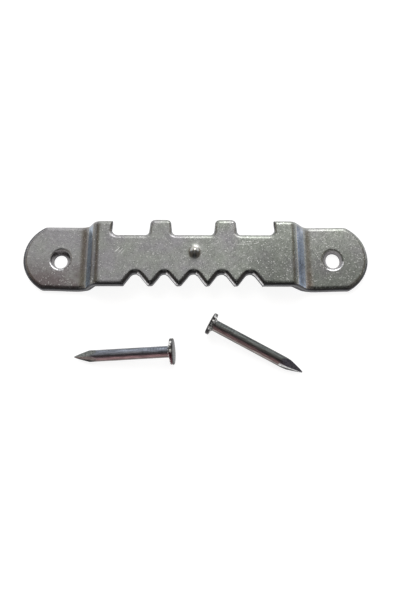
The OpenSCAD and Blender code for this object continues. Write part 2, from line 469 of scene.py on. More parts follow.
def slope_span(side):
    """Where the straight slope of the top face begins and ends."""
    flat_x, slope, shoulder_r = STEPS["top", side].values()
    c = math.cos(slope)
    foot_drop = (TIGHT_R + WIDE_MORE) * (1 - math.cos(WIDE_A)) + TIGHT_R * (math.cos(WIDE_A) - c)
    begin = flat_x + shoulder_r * math.sin(slope)
    return begin, begin + (RISE - shoulder_r * (1 - c) - foot_drop) / math.tan(slope)


def roll_drop(share):
    """How far the rounding lies below the flat, at a share of its width from the edge, for a width of one."""
    at = np.linspace(0, 1, ROLL_SAMPLES)
    slope = np.tan(np.radians(np.interp(at, *np.array(ROLL_SLOPE).T)))
    steps = (slope[1:] + slope[:-1]) / 2 * (at[1] - at[0])
    drop = np.append(np.cumsum(steps[::-1])[::-1], 0)
    return np.interp(share, at, drop)


def pip_height(pts):
    """The soft oval bump of the pip."""
    x, y = (pts - PIP_TOP).T
    y = y / np.where(y > 0, PIP_FAR, PIP_NEAR)
    return PIP_H * np.exp(-np.hypot(x / PIP_WIDE, y) ** PIP_POWER)


def dimple_height(pts):
    """The punch's mark below the pip."""
    r = np.hypot(*(pts - PIP).T) / DIMPLE_R
    return DIMPLE_H * np.clip(1 - r ** DIMPLE_POWER, 0, None)


# The nail holes
def hole(side, astray, **sizes):
    """A hole's sizes and its centre, which lies a little astray of its drawn place."""
    return dict(at=(side * HOLE_X - PLATE_SHIFT + astray[0], astray[1]), **sizes)


# Each hole: its radius, its mouth's radius and depth, how far it is off its mouth's centre, how much narrower
# than long the mouth and the hole are, and between which angles a highlight is painted on its lip
HOLES = [
    hole(-1, (-0.05, -0.14), r=0.925, mouth=1.36, deep=0.8, off=(-0.12, -0.07), oval=(0.91, 0.93),
         glint=(190, 290)),
    hole(1, (-0.06, -0.15), r=1.03, mouth=1.32, deep=0.8, off=(0.17, 0.15), oval=(0.93, 0.88),
         glint=(230, 350)),
]
LIP = 0.3
LIP_DROP = 0.4
LIP_ROWS = 6
MOUTH_SHARES = (0.3, 0.6, 0.9)
# The bore below the mouth: its sheared edge's depths, and how far the edge, torn wall and foot stand out
EDGE_DEEP = (0.02, 0.07)
EDGE_OUT = 0.012
TORN_OUT = 0.008
FOOT_OUT = 0.03
TORN_SHARES = (0.3, 0.5, 0.7, 0.9)


def hole_profile(h):
    """Rows from the lip on the top face down to the bottom face, as (radius, height, material)."""
    r, mouth, low = h["r"], h["mouth"], SHEET_T - h["deep"]
    slope = math.atan2(h["deep"] - LIP * LIP_DROP, mouth - r)
    rows = []
    for a in np.linspace(0, slope, LIP_ROWS)[1:]:
        lip_r = mouth + LIP * (1 - math.sin(a) / math.sin(slope))
        rows.append((lip_r, SHEET_T - LIP * (1 - math.cos(a)), FACE))
    lip_z = rows[-1][1]
    edge_z = low - EDGE_DEEP[1]
    rows += [(mouth + (r - mouth) * k, lip_z + (low - lip_z) * k, MOUTH) for k in MOUTH_SHARES]
    rows += [(r + EDGE_OUT, low - EDGE_DEEP[0], SHEARED), (r, edge_z, SHEARED)]
    rows += [(r + TORN_OUT, edge_z * (1 - k), TORN) for k in TORN_SHARES]
    return rows + [(r + FOOT_OUT, 0.0, TORN)]


def circle(centre, r, n):
    at = np.linspace(0, 2 * math.pi, n, endpoint=False)
    return np.array(centre) + r * np.stack([np.cos(at), np.sin(at)], 1)


def hole_ring(h, r, height, steps):
    """An oval round the hole at a height. It moves off the mouth's centre between the lip and the bore."""
    t = min(1, max(0, (SHEET_T - height) / h["deep"]))
    ring = circle((0, 0), r, steps) * (h["oval"][0] + (h["oval"][1] - h["oval"][0]) * t, 1)
    return ring + h["at"] + np.array(h["off"]) * t


# The stamped plate
def fill(boundaries, inner):
    """Triangulates a loop with holes and inner points. Returns all the points and the triangles."""
    pts = np.concatenate(list(boundaries) + [inner])
    edges, start = [], 0
    for loop in boundaries:
        n = len(loop)
        edges += [(start + i, start + (i + 1) % n) for i in range(n)]
        start += n
    _, _, out_f, from_v, _, _ = delaunay_2d_cdt([Vector(p) for p in pts], edges, [], 0, MERGE, True)
    source = [f[0] if f else -1 for f in from_v]
    tris = np.array([[source[i] for i in f] for f in out_f if len(f) == 3])
    tris = tris[(tris >= 0).all(1)]
    c = pts[tris].mean(1)
    good = inside(c, boundaries[0])
    for loop in boundaries[1:]:
        good &= ~inside(c, loop)
    tris = tris[good]
    a, b, c = (pts[tris[:, k]] for k in range(3))
    turn = (b[:, 0] - a[:, 0]) * (c[:, 1] - a[:, 1]) - (b[:, 1] - a[:, 1]) * (c[:, 0] - a[:, 0])
    tris[turn < 0] = tris[turn < 0][:, ::-1]
    return pts, tris[np.abs(turn) > THIN]


def grid_points(loop):
    """The staggered grid of the broad faces, finer over the bends and clear of the outline."""
    bend_from, bend_to = BEND_X[0] - BEND_CLEAR[0], BEND_X[1] + BEND_CLEAR[1]
    xs = [x for x in np.arange(*GRID_X) if not bend_from < abs(x) < bend_to]
    bend = list(np.arange(*BEND_X))
    xs += bend + [-x for x in bend]
    pts = []
    for k, x in enumerate(sorted(xs)):
        pts += [(x, y + GRID_STAGGER * (k % 2)) for y in np.arange(*GRID_Y)]
    grid = np.array(pts)
    grid = grid[inside(grid, loop)]
    return grid[loop_distance(grid, loop)[0] > ROLL + EDGE_CLEAR]


def top_points(loop, normals, grid):
    """Inner points of the top face: rings along the edge and round the holes and the pip, and the grid."""
    inner = []
    for d in RINGS:
        ring = loop - normals * d
        far_enough = loop_distance(ring, loop)[0] > RING_KEPT * d
        ring = ring[far_enough & inside(ring, loop)]
        inner.append(ring[::2] if d > RING_FINE else ring)
    away = np.hypot(*(grid - PIP).T) > PIP_CLEAR
    for h in HOLES:
        away &= np.hypot(*(grid - h["at"]).T) > h["mouth"] + LIP + MOUTH_CLEAR
    inner.append(grid[away])
    for h in HOLES:
        inner += [hole_ring(h, h["mouth"] + LIP + d, SHEET_T, n) for d, n in LIP_RINGS]
    inner += [circle(PIP, r, PIP_PIECES) for r in PIP_RINGS]
    return np.concatenate(inner)


def low_points(grid):
    """Inner points of the underside: the grid, and rings round the punch's mark."""
    grid = grid[np.hypot(*(grid - PIP).T) > DIMPLE_R + LOW_CLEAR]
    for h in HOLES:
        grid = grid[np.hypot(*(grid - hole_ring(h, 0.0, 0.0, 1)).T) > h["r"] + LOW_CLEAR]
    return np.concatenate([grid] + [circle(PIP, r, DIMPLE_PIECES) for r in DIMPLE_RINGS])


def top_face(skin, loop, normals, grid, bands):
    """The top face with its rolled edge. Returns the heights along the outline."""
    n = len(loop)
    rims = [hole_ring(h, h["mouth"] + LIP, SHEET_T, HOLE_STEPS) for h in HOLES]
    pts, tris = fill([loop] + rims, top_points(loop, normals, grid))
    dist, nearest = loop_distance(pts, loop)
    dist[:n] = 0
    nearest[:n] = np.arange(n)
    wide = roll_widths(loop, normals)[nearest]
    z = face_height("top", pts[:, 0]) - wide * roll_drop(np.clip(dist / wide, 0, 1))
    z += pip_height(pts)
    skin.add(np.column_stack([pts, z]))
    skin.faces += tris.tolist()
    bright, rim, painted_shade = bands
    piece, from_edge = nearest[tris[:, 0]], dist[tris].mean(1)
    # the band of painted shade inside the rim, and the rim in dark sheared steel, bright on the burnished
    # flanks
    kinds = np.where(from_edge < painted_shade[piece], SHADED, FACE)
    kinds = np.where(from_edge < rim[piece], np.where(bright[piece], BRIGHT, SHEARED), kinds)
    skin.kinds += kinds.tolist()
    return z[:n]


def cut_wall(skin, loop, normals, bright, top_z):
    """The wall along the outline, sheared above and torn below. Returns its lowest row."""
    n = len(loop)
    low_z = face_height("low", loop[:, 0])
    upper = list(range(n))
    for share, inset, kind in WALL_ROWS:
        rough = TORN_ROUGH * rng.standard_normal(n) if kind == TORN and share < 1 else np.zeros(n)
        rough = (rough + np.roll(rough, 1) + np.roll(rough, -1)) / 2
        # the burnished flanks, painted bright as a highlight, stand straight down to a dark foot
        straight = 0.0 if share < 1 else BRIGHT_FOOT
        row = loop - normals * np.where(bright, straight, inset + np.abs(rough))[:, None]
        lower = skin.add(np.column_stack([row, top_z + (low_z - top_z) * share]))
        high = share < BRIGHT_SHARE
        skin.join(upper, lower, [BRIGHT if high and b else kind for b in bright], outwards=True)
        upper = lower
    return row, upper


def hole_wall(skin, h, upper):
    """A hole's wall below its rim. Returns its lowest ring."""
    turn = [i * 360 / HOLE_STEPS for i in range(HOLE_STEPS)]
    # a highlight is painted on the lip between the glint's angles
    painted_light = [h["glint"][0] < a < h["glint"][1] for a in turn]
    for r, height, kind in hole_profile(h):
        ring = hole_ring(h, r, height, HOLE_STEPS)
        lower = skin.add(np.column_stack([ring, np.full(HOLE_STEPS, height)]))
        skin.join(upper, lower, [BRIGHT if kind == FACE and b else kind for b in painted_light])
        upper = lower
    return ring, upper


def plate_skin():
    skin = Skin()
    loop = punched_loop()
    normals = loop_normals(loop)
    grid = grid_points(loop)
    bands = edge_bands(loop, normals)
    top_z = top_face(skin, loop, normals, grid, bands)
    low_loop, ids = cut_wall(skin, loop, normals, bands[0], top_z)
    low_rings = [low_loop]
    start = len(loop)
    for h in HOLES:
        ring, ring_ids = hole_wall(skin, h, list(range(start, start + HOLE_STEPS)))
        start += HOLE_STEPS
        low_rings.append(ring)
        ids += ring_ids
    pts, tris = fill(low_rings, low_points(grid))
    z = face_height("low", pts[:, 0]) + dimple_height(pts)
    ids += skin.add(np.column_stack([pts, z])[len(ids):])
    skin.faces += [[ids[i] for i in t[::-1]] for t in tris.tolist()]
    skin.kinds += [FACE] * len(tris)
    return skin


# The nails: wire, cut point and the place by it on which they lie, head, head's edge and flared neck
NAIL_R = 0.725
POINT_L = 3.2
REST_L = 2.8
HEAD_T = 0.55
BEVEL = 0.14
FLARE = 0.3
# The point's sides bulge a little and end in a small flat, and the neck flares in a curve
POINT_POWER = 0.86
POINT_FLAT = 0.04
FLARE_POWER = 2.2
# Faint grip marks under the head, each as rows of (along, outwards)
GRIP_FROM = 2.5
GRIP_TO = 0.2
GRIP_PITCH = 0.34
GRIP_MARK = ((0.0, 0.0), (0.06, -0.012), (0.16, 0.0), (0.22, 0.004))
# The head is not quite round: waves round it, their depths, and how much smaller it gets
HEAD_WAVES = ((2, 0.008), (3, 0.006))
HEAD_IN = 0.012
HEAD_DOME = 0.05
# How fine the nails' mesh is. Fine rows run on a little past the point
NAIL_STEPS = 96
SHANK_FINE = 0.07
SHANK_COARSE = 0.5
POINT_PAST = 0.3
COARSE_FROM = 0.4
COARSE_GAP = 0.1
FLARE_ROWS = 7
UNDER_SHARES = (0.2, 0.6, 1.0)
TOP_SHARES = (0.8, 0.6, 0.4, 0.2, 0.05)
BEVEL_ANGLES = [22, 45, 68, 90]


def nail_profile(length, head_d, to_face, head_r):
    """Rows from the point to the top of the head, as (along, radius)."""
    under = length - HEAD_T
    fine = np.arange(0.0, POINT_L + POINT_PAST, SHANK_FINE)
    coarse = np.arange(POINT_L + COARSE_FROM, under - FLARE - GRIP_FROM - COARSE_GAP, SHANK_COARSE)
    rows = []
    for s in list(fine) + list(coarse):
        half = NAIL_R * (s / POINT_L) ** POINT_POWER + POINT_FLAT
        rows.append((s, np.minimum(NAIL_R, half / to_face)))
    s = under - FLARE - GRIP_FROM
    while s < under - FLARE - GRIP_TO:
        rows += [(s + along, NAIL_R + out) for along, out in GRIP_MARK]
        s += GRIP_PITCH
    for k in np.linspace(0, 1, FLARE_ROWS):
        rows.append((under - FLARE * (1 - k), NAIL_R + FLARE * k ** FLARE_POWER))
    neck = NAIL_R + FLARE
    for k in UNDER_SHARES:
        rows.append((under, neck + (head_r - BEVEL - neck) * k))
    for a in np.radians(BEVEL_ANGLES):
        rows.append((under + BEVEL * (1 - math.cos(a)), head_r - BEVEL * (1 - math.sin(a))))
    for a in np.radians([0] + BEVEL_ANGLES):
        rows.append((length - HEAD_DOME - BEVEL * (1 - math.sin(a)), head_r - BEVEL * (1 - math.cos(a))))
    for k in TOP_SHARES:
        dome = HEAD_DOME * (k * head_d / 2 / (head_d / 2 - BEVEL)) ** 2
        rows.append((length - dome, (head_r - BEVEL) * k))
    return rows


def nail_skin(length, head_d, roll, seed):
    """A wire nail along +Z with its point at the origin."""
    draw = np.random.default_rng(seed)
    at = math.radians(roll + 45) + np.linspace(0, 2 * math.pi, NAIL_STEPS, endpoint=False)
    to_face = np.maximum(np.abs(np.cos(at - math.radians(roll))), np.abs(np.sin(at - math.radians(roll))))
    head_r = 1
    for waves, depth in HEAD_WAVES:
        head_r = head_r + depth * np.cos(waves * at + draw.uniform(0, 6))
    head_r = head_d / 2 * (head_r - HEAD_IN)
    skin = Skin()
    rings = []
    for s, r in nail_profile(length, head_d, to_face, head_r):
        rings.append(skin.add(np.column_stack([r * np.cos(at), r * np.sin(at), np.full(NAIL_STEPS, s)])))
    for lower, upper in zip(rings, rings[1:]):
        skin.join(lower, upper, [0] * NAIL_STEPS)
    skin.faces += [rings[-1], rings[0][::-1]]
    skin.kinds += [0, 0]
    return skin


def nail_matrix(length, head_d, roll, point_x, point_gap, turn):
    """Lays the nail on its head's rim and near its point."""
    rest = REST_L * max(abs(math.cos(math.radians(roll))), abs(math.sin(math.radians(roll))))
    tilt = math.atan((head_d / 2 - NAIL_R) / (length - HEAD_T + BEVEL - rest))
    lift = NAIL_R * math.cos(tilt) - rest * math.sin(tilt)
    place = Matrix.Translation((point_x, NEAR_Y - point_gap, lift))
    return place @ Matrix.Rotation(math.radians(turn), 4, "Z") @ Matrix.Rotation(math.pi / 2 - tilt, 4, "Y")


class Tree:
    """Short calls for building a node tree."""

    def __init__(self, tree):
        self.tree = tree

    def feed(self, node, inputs):
        """Links a socket to each input, or sets the input to a value."""
        for k, v in inputs.items():
            if isinstance(v, bpy.types.NodeSocket):
                self.tree.links.new(v, node.inputs[k])
            else:
                node.inputs[k].default_value = v

    def add(self, kind, inputs=None, **settings):
        node = self.tree.nodes.new(kind)
        for k, v in settings.items():
            setattr(node, k, v)
        self.feed(node, inputs or {})
        return node

    def math(self, op, a, b=0.0):
        return self.add("ShaderNodeMath", {0: a, 1: b}, operation=op).outputs[0]

    def plus(self, a, b):
        return self.math("ADD", a, b)

    def minus(self, a, b):
        return self.math("SUBTRACT", a, b)

    def times(self, a, b):
        return self.math("MULTIPLY", a, b)

    def far_from(self, value, place):
        return self.math("ABSOLUTE", self.minus(value, place))

    def mix(self, fac, a, b, blend="MIX"):
        return self.add("ShaderNodeMix", {0: fac, 6: a, 7: b}, data_type="RGBA", blend_type=blend).outputs[2]

    def tone(self, colour, by):
        return self.mix(1.0, colour, by, "MULTIPLY")

    def ramp(self, fac, stops):
        node = self.add("ShaderNodeValToRGB", {0: fac})
        ramp = node.color_ramp
        while len(ramp.elements) < len(stops):
            ramp.elements.new(0.5)
        for e, (pos, col) in zip(ramp.elements, stops):
            e.position = pos
            e.color = col if len(col) == 4 else (*col, 1)
        return node.outputs[0]

    def span(self, value, low, high, to_low, to_high, kind):
        inputs = {0: value, 1: low, 2: high, 3: to_low, 4: to_high}
        return self.add("ShaderNodeMapRange", inputs, interpolation_type=kind).outputs[0]

    def smooth(self, value, low, high, to_low=0.0, to_high=1.0):
        return self.span(value, low, high, to_low, to_high, "SMOOTHSTEP")

    def linear(self, value, low, high, to_low, to_high):
        return self.span(value, low, high, to_low, to_high, "LINEAR")

    def noise(self, vector, scale, detail, rough):
        inputs = {"Vector": vector, "Scale": scale, "Detail": detail, "Roughness": rough}
        return self.add("ShaderNodeTexNoise", inputs).outputs[0]

    def bump(self, height, distance, normal=None):
        """A bump as high as a distance in metres, on top of another."""
        inputs = {"Height": height, "Distance": distance}
        if normal is not None:
            inputs["Normal"] = normal
        return self.add("ShaderNodeBump", inputs).outputs[0]

    def mapped(self, vector, **how):
        return self.add("ShaderNodeMapping", {"Vector": vector, **how}).outputs[0]

    def in_mm(self):
        return self.mapped(self.add("ShaderNodeTexCoord").outputs["Object"], Scale=[1 / MM] * 3)

    def parts(self, vector):
        return self.add("ShaderNodeSeparateXYZ", {0: vector}).outputs


def grey(v):
    return (v, v, v, 1)


def new_material(name):
    mat = bpy.data.materials.new(name)
    mat.use_nodes = True
    return mat, Tree(mat.node_tree), mat.node_tree.nodes["Principled BSDF"]


# The plate's materials, with places in millimetres. Each scratch has its two ends and its half width
SCRATCHES = [(-10.4, 0.0, -9.8, 0.75, 0.035), (-10.05, -0.2, -9.45, 0.55, 0.03),
             (-9.75, -0.35, -9.2, 0.35, 0.03), (-10.6, -0.15, -10.15, 0.4, 0.025),
             (4.9, 1.1, 7.2, 1.15, 0.03), (7.2, 1.15, 8.0, 1.35, 0.028),
             (5.3, 1.35, 7.3, 1.5, 0.022), (6.3, -1.0, 6.8, -0.55, 0.03)]
ZINC = [(0.3, (0.285, 0.278, 0.287)), (0.45, (0.29, 0.292, 0.282)), (0.66, (0.285, 0.3, 0.27))]
# painted bluish reflections on the slopes, darker at the far end, lighter towards the foot
LEFT_SLOPE = (0.33, 0.4, 0.48, 1)
RIGHT_SLOPE = (0.37, 0.44, 0.57, 1)
SLOPE_FAR_END = (0.14, 0.16, 0.2, 1)
SLOPE_FOOT = (0.66, 0.72, 0.82, 1)
# painted light and shade at the feet of the steps
PALE_FOOT = (0.6, 0.62, 0.6, 1)
BROWN_FOOT = (0.22, 0.2, 0.175, 1)
RED_FOOT = (0.5, 0.2, 0.12, 1)
# painted shade on the left shoulder
SHOULDER_SHADE = (0.12, 0.11, 0.1, 1)
# the painted highlight on the crest
LEFT_CREST = (0.27, 0.275, 0.285, 1)
RIGHT_CREST = (0.5, 0.5, 0.52, 1)
BROWN_PATCH = (0.17, 0.145, 0.145, 1)
PALE_TAB = (0.6, 0.6, 0.61, 1)
SPECK = (0.62, 0.62, 0.6, 1)
SCRATCH = (0.9, 0.9, 0.88, 1)
# painted shade on the pip's near side and a painted highlight on its far side
PIP_PAINTED_SHADE = grey(0.09)
PIP_PAINTED_HIGHLIGHT = (0.62, 0.61, 0.56, 1)


def scratch_mask(t, x, y):
    """White along each of the scratches, black elsewhere."""
    total = 0.0
    for x0, y0, x1, y1, half in SCRATCHES:
        length = math.hypot(x1 - x0, y1 - y0)
        ux, uy = (x1 - x0) / length, (y1 - y0) / length
        from_x, from_y = t.minus(x, x0), t.minus(y, y0)
        along = t.plus(t.times(from_x, ux), t.times(from_y, uy))
        off = t.far_from(t.times(from_y, ux), t.times(from_x, uy))
        ends = t.times(t.smooth(along, 0, length / 4), t.smooth(along, length, length * 3 / 4))
        total = t.math("MAXIMUM", total, t.times(ends, t.smooth(off, half, half / 3)))
    return total


def bend_tints(t, x, y, base):
    """Colours painted over the two steps: a painted highlight on the crest, a painted bluish reflection on
    the slope, painted shade and light at the foot and painted shade on the left shoulder.
    """
    on_right = t.linear(x, -1, 1, 0, 1)
    (left_from, left_to), (right_from, right_to) = slope_span(-1), slope_span(1)
    # how far a point lies past the slope's beginning, and past its end
    past = t.minus(t.far_from(x, PLATE_SHIFT), t.linear(x, -1, 1, left_from, right_from))
    run = t.linear(x, -1, 1, left_to - left_from, right_to - right_from)
    over = t.minus(past, run)
    # the slopes carry a painted bluish reflection, darker towards the far end on the right
    slope_reflection = t.mix(on_right, LEFT_SLOPE, RIGHT_SLOPE)
    slope_reflection = t.mix(t.times(on_right, t.smooth(y, 1.6, 3.4, 0.0, 0.85)), slope_reflection, SLOPE_FAR_END)
    # painted light: the right slope brightens towards its foot
    rise = t.times(t.math("DIVIDE", past, run), on_right)
    slope_reflection = t.mix(t.smooth(rise, 0.3, 0.75, 0.0, 0.42), slope_reflection, SLOPE_FOOT)
    slope = t.times(t.smooth(past, -0.02, 0.06), t.smooth(over, 0.02, -0.1))
    slope = t.times(slope, t.smooth(y, FAR_Y - 0.1, FAR_Y - 0.9, 0.3, 1.0))
    base = t.mix(slope, base, slope_reflection)
    # painted shade and light at the foot: brown shade on the left, pale light on the right, reddish there
    # towards the near edge
    pale = t.times(t.smooth(over, -0.15, 0.05), t.smooth(over, 1.2, 0.45, 0.0, 0.22))
    base = t.mix(t.times(pale, on_right), base, PALE_FOOT)
    foot = t.times(t.smooth(over, -0.1, 0.1), t.smooth(over, 1.3, 0.5))
    foot = t.times(foot, t.linear(x, -1, 1, 0.5, 0.04))
    base = t.mix(foot, base, BROWN_FOOT)
    red = t.times(t.smooth(y, 0.0, -4.0), t.times(foot, t.times(on_right, 3.0)))
    base = t.mix(red, base, RED_FOOT)
    # painted shade on the left shoulder
    inwards = t.minus(past, t.times(y, 0.05))
    shoulder = t.times(t.smooth(inwards, -1.15, -0.8), t.smooth(past, -0.06, -0.14))
    base = t.mix(t.times(shoulder, t.linear(x, -1, 1, 0.55, 0.0)), base, SHOULDER_SHADE)
    # a painted highlight along the crest, where the slope begins
    crest = t.times(t.smooth(past, -0.11, -0.06), t.smooth(past, 0.02, -0.04))
    return t.mix(crest, base, t.mix(on_right, LEFT_CREST, RIGHT_CREST))


def pip_tints(t, x, y, base):
    """The pip, with a painted highlight on its far side and painted shade on its near side. Returns also
    where it is.
    """
    off_x = t.math("POWER", t.minus(x, PIP_TOP[0] + PLATE_SHIFT), 2.0)
    off_y = t.math("POWER", t.times(t.minus(y, PIP_TOP[1] - 0.2), 0.75), 2.0)
    painted_light = t.smooth(t.plus(off_x, off_y), 0.6, 0.35)
    far_side = t.smooth(y, PIP_TOP[1] - 0.12, PIP_TOP[1] + 0.08)
    return t.mix(t.times(painted_light, 0.8), base, t.mix(far_side, PIP_PAINTED_SHADE, PIP_PAINTED_HIGHLIGHT)), painted_light


def plated_steel():
    """The dull zinc of the plate's faces."""
    mat, t, bsdf = new_material("zinc_face")
    at = t.in_mm()
    x, y, _ = t.parts(at)
    base = t.ramp(t.plus(t.noise(at, 0.3, 2, 0.5), t.smooth(x, -16, 14, -0.12, 0.12)), ZINC)
    # painted shade: the right half is darker towards its near edge
    darker = t.times(t.smooth(x, 3.0, 10.0), t.smooth(y, 4.0, -2.0))
    base = t.mix(darker, base, t.tone(base, grey(0.66)))
    cloud = t.noise(at, 1.1, 4, 0.6)
    base = t.tone(base, t.ramp(cloud, [(0.3, grey(0.91)), (0.7, grey(1.08))]))
    # the left tab is paler towards its end, with darker brownish patches towards its near edge
    base = t.mix(t.smooth(x, -15.0, -16.5, 0.0, 0.1), base, PALE_TAB)
    brown_patch = t.times(t.smooth(x, -14.6, -15.6), t.smooth(y, 1.0, -3.5))
    brown_patch = t.times(brown_patch, t.smooth(t.noise(at, 0.45, 3, 0.6), 0.3, 0.6, 0.35, 1.0))
    base = t.mix(brown_patch, base, BROWN_PATCH)
    base = bend_tints(t, x, y, base)
    # a grain of small cells, some of them bright specks
    cells = t.add("ShaderNodeTexVoronoi", {"Vector": at, "Scale": 10.5}, voronoi_dimensions="3D")
    cell = t.add("ShaderNodeSeparateColor", {0: cells.outputs["Color"]}).outputs[0]
    grain = t.plus(t.times(t.minus(cell, 0.5), t.smooth(x, -10, 12, 0.42, 0.58)), 1.0)
    base = t.tone(base, t.add("ShaderNodeCombineColor", {0: grain, 1: grain, 2: grain}).outputs[0])
    dense = t.minus(t.smooth(x, -14, 14, 0.998, 0.965), t.times(t.noise(at, 0.7, 2, 0.5), 0.05))
    speck = t.smooth(cell, dense, t.plus(dense, 0.01))
    base = t.mix(t.times(speck, 0.85), base, SPECK)
    base = t.mix(scratch_mask(t, x, y), base, SCRATCH)
    base, painted_light = pip_tints(t, x, y, base)
    rough = t.times(t.smooth(cloud, 0.3, 0.7, 0.24, 0.32), t.minus(1.0, t.times(painted_light, 0.4)))
    normal = t.bump(t.noise(at, 11.0, 3, 0.6), 0.000006)
    normal = t.bump(t.noise(at, 0.8, 2, 0.5), 0.00001, normal)
    t.feed(bsdf, {"Base Color": base, "Metallic": 1.0, "Roughness": rough, "Normal": normal})
    return mat


def bare_steel(name, scale, stops, rough, depth, metallic=1.0, detail=3, harsh=0.6, stretch=None):
    """Steel whose colour and dents follow one noise, which may be stretched into streaks."""
    mat, t, bsdf = new_material(name)
    at = t.in_mm()
    if stretch:
        at = t.mapped(at, Scale=stretch)
    grain = t.noise(at, scale, detail, harsh)
    base, normal = t.ramp(grain, stops), t.bump(grain, depth)
    t.feed(bsdf, {"Base Color": base, "Metallic": metallic, "Roughness": rough, "Normal": normal})
    return mat


def plate_materials():
    """The plate's materials, in the order of their numbers."""
    # the sheared and torn bands are painted near black: partly the bare steel's own colour, partly painted
    # shade
    dark = [(0.3, (0.045, 0.045, 0.05)), (0.7, (0.09, 0.09, 0.095))]
    torn = [(0.3, (0.03, 0.027, 0.032)), (0.7, (0.07, 0.064, 0.074))]
    # the burnished band, bright partly as a painted highlight
    bright = [(0.35, (0.35, 0.35, 0.36)), (0.6, (0.75, 0.75, 0.76))]
    darker = [(0.3, (0.14, 0.13, 0.135)), (0.7, (0.26, 0.25, 0.255))]
    # the band of painted shade
    painted_shade = [(0.3, (0.06, 0.06, 0.062)), (0.7, (0.12, 0.12, 0.122))]
    return [
        plated_steel(),
        bare_steel("sheared_band", 1.0, dark, 0.22, 0.00001, stretch=(9, 9, 0.8)),
        bare_steel("torn_band", 6.0, torn, 0.5, 0.00003, metallic=0.6, detail=4, harsh=0.65),
        bare_steel("burnished_and_painted_bright_band", 5.0, bright, 0.2, 0.00001),
        bare_steel("countersunk_mouth", 4.0, darker, 0.26, 0.00001),
        bare_steel("painted_shade_flank", 6.0, painted_shade, 0.24, 0.000006),
    ]


# The nails' material
# dark spots on the heads, with painted glints among them
HEAD_SPOTS_AND_GLINTS = [(0.4, (0.03, 0.026, 0.028)), (0.5, (0.08, 0.08, 0.078)), (0.55, (0.16, 0.16, 0.155)),
              (0.59, (0.88, 0.88, 0.87))]
HEAD_TOP = [(0.35, (0.05, 0.048, 0.05)), (0.65, (0.15, 0.15, 0.148))]
BLOT = (0.09, 0.02, 0.03, 1)
GLINT = (0.9, 0.9, 0.88, 1)
# painted shade under the point
POINT_UNDER_SHADE = grey(0.03)
# How each nail looks: the side its own Y points to, its bands of painted reflection, light and shade, from
# the far side over the top to the near side, its roughness in dark and bright streaks, where round the axis
# its point's ridge lies, the colours above and below it, and how strong the dark red blot and where the
# bright spots on the head are
BLUISH = [(0.0, grey(0.12)), (0.14, (0.14, 0.15, 0.165)), (0.2, (0.22, 0.24, 0.28)),
          (0.3, (0.25, 0.27, 0.32)), (0.37, (0.16, 0.165, 0.18)), (0.42, (0.22, 0.185, 0.205)),
          (0.5, (0.31, 0.195, 0.205)), (0.55, (0.225, 0.145, 0.145)), (0.59, (0.12, 0.085, 0.085)),
          (0.64, (0.19, 0.16, 0.155)), (0.7, (0.25, 0.215, 0.205)), (1.0, (0.2, 0.18, 0.17))]
OLIVE = [(0.0, grey(0.06)), (0.14, (0.08, 0.085, 0.085)), (0.2, (0.1, 0.108, 0.108)),
         (0.27, (0.118, 0.128, 0.124)), (0.31, (0.1, 0.105, 0.1)), (0.36, (0.078, 0.075, 0.072)),
         (0.39, (0.13, 0.115, 0.115)), (0.43, (0.31, 0.21, 0.22)), (0.48, (0.25, 0.165, 0.165)),
         (0.52, (0.1, 0.07, 0.07)), (0.56, (0.27, 0.23, 0.22)), (0.61, (0.27, 0.24, 0.23)),
         (0.65, (0.05, 0.045, 0.045)), (1.0, grey(0.03))]
NAIL_LOOKS = {
    "left": dict(near=-1, bands=BLUISH, rough=(0.34, 0.24), ridge=0.26, point_top=(0.2, 0.21, 0.2, 1),
                 point_low=(0.15, 0.12, 0.115, 1), blot=0.85, glints=(-0.8, 0.3)),
    "right": dict(near=1, bands=OLIVE, rough=(0.42, 0.32), ridge=0.68, point_top=(0.1, 0.1, 0.125, 1),
                  point_low=grey(0.62), blot=0.0, glints=()),
}


def head_tints(t, own, length, look):
    """The stamped head, with dark spots, painted glints and a dark red blot. Returns also where its top is.
    """
    down, across, along = t.parts(own)
    nearer = t.times(across, look["near"])
    spots = t.noise(own, 2.8, 3, 0.65)
    on_top = t.smooth(along, length - 0.3, length - 0.12)
    head = t.mix(on_top, t.ramp(spots, HEAD_SPOTS_AND_GLINTS), t.ramp(spots, HEAD_TOP))
    blot = t.times(t.smooth(nearer, 0.1, 0.7), t.smooth(spots, 0.6, 0.45, 0.3, 1.0))
    blot = t.times(blot, t.minus(1.0, on_top))
    head = t.mix(t.times(blot, look["blot"]), head, BLOT)
    for place in look["glints"]:
        spot = t.smooth(t.far_from(nearer, place), 0.24, 0.1)
        spot = t.times(spot, t.smooth(t.far_from(along, length - 0.34), 0.17, 0.08))
        head = t.mix(t.times(spot, t.smooth(down, 0.2, -0.2)), head, GLINT)
    return head, on_top


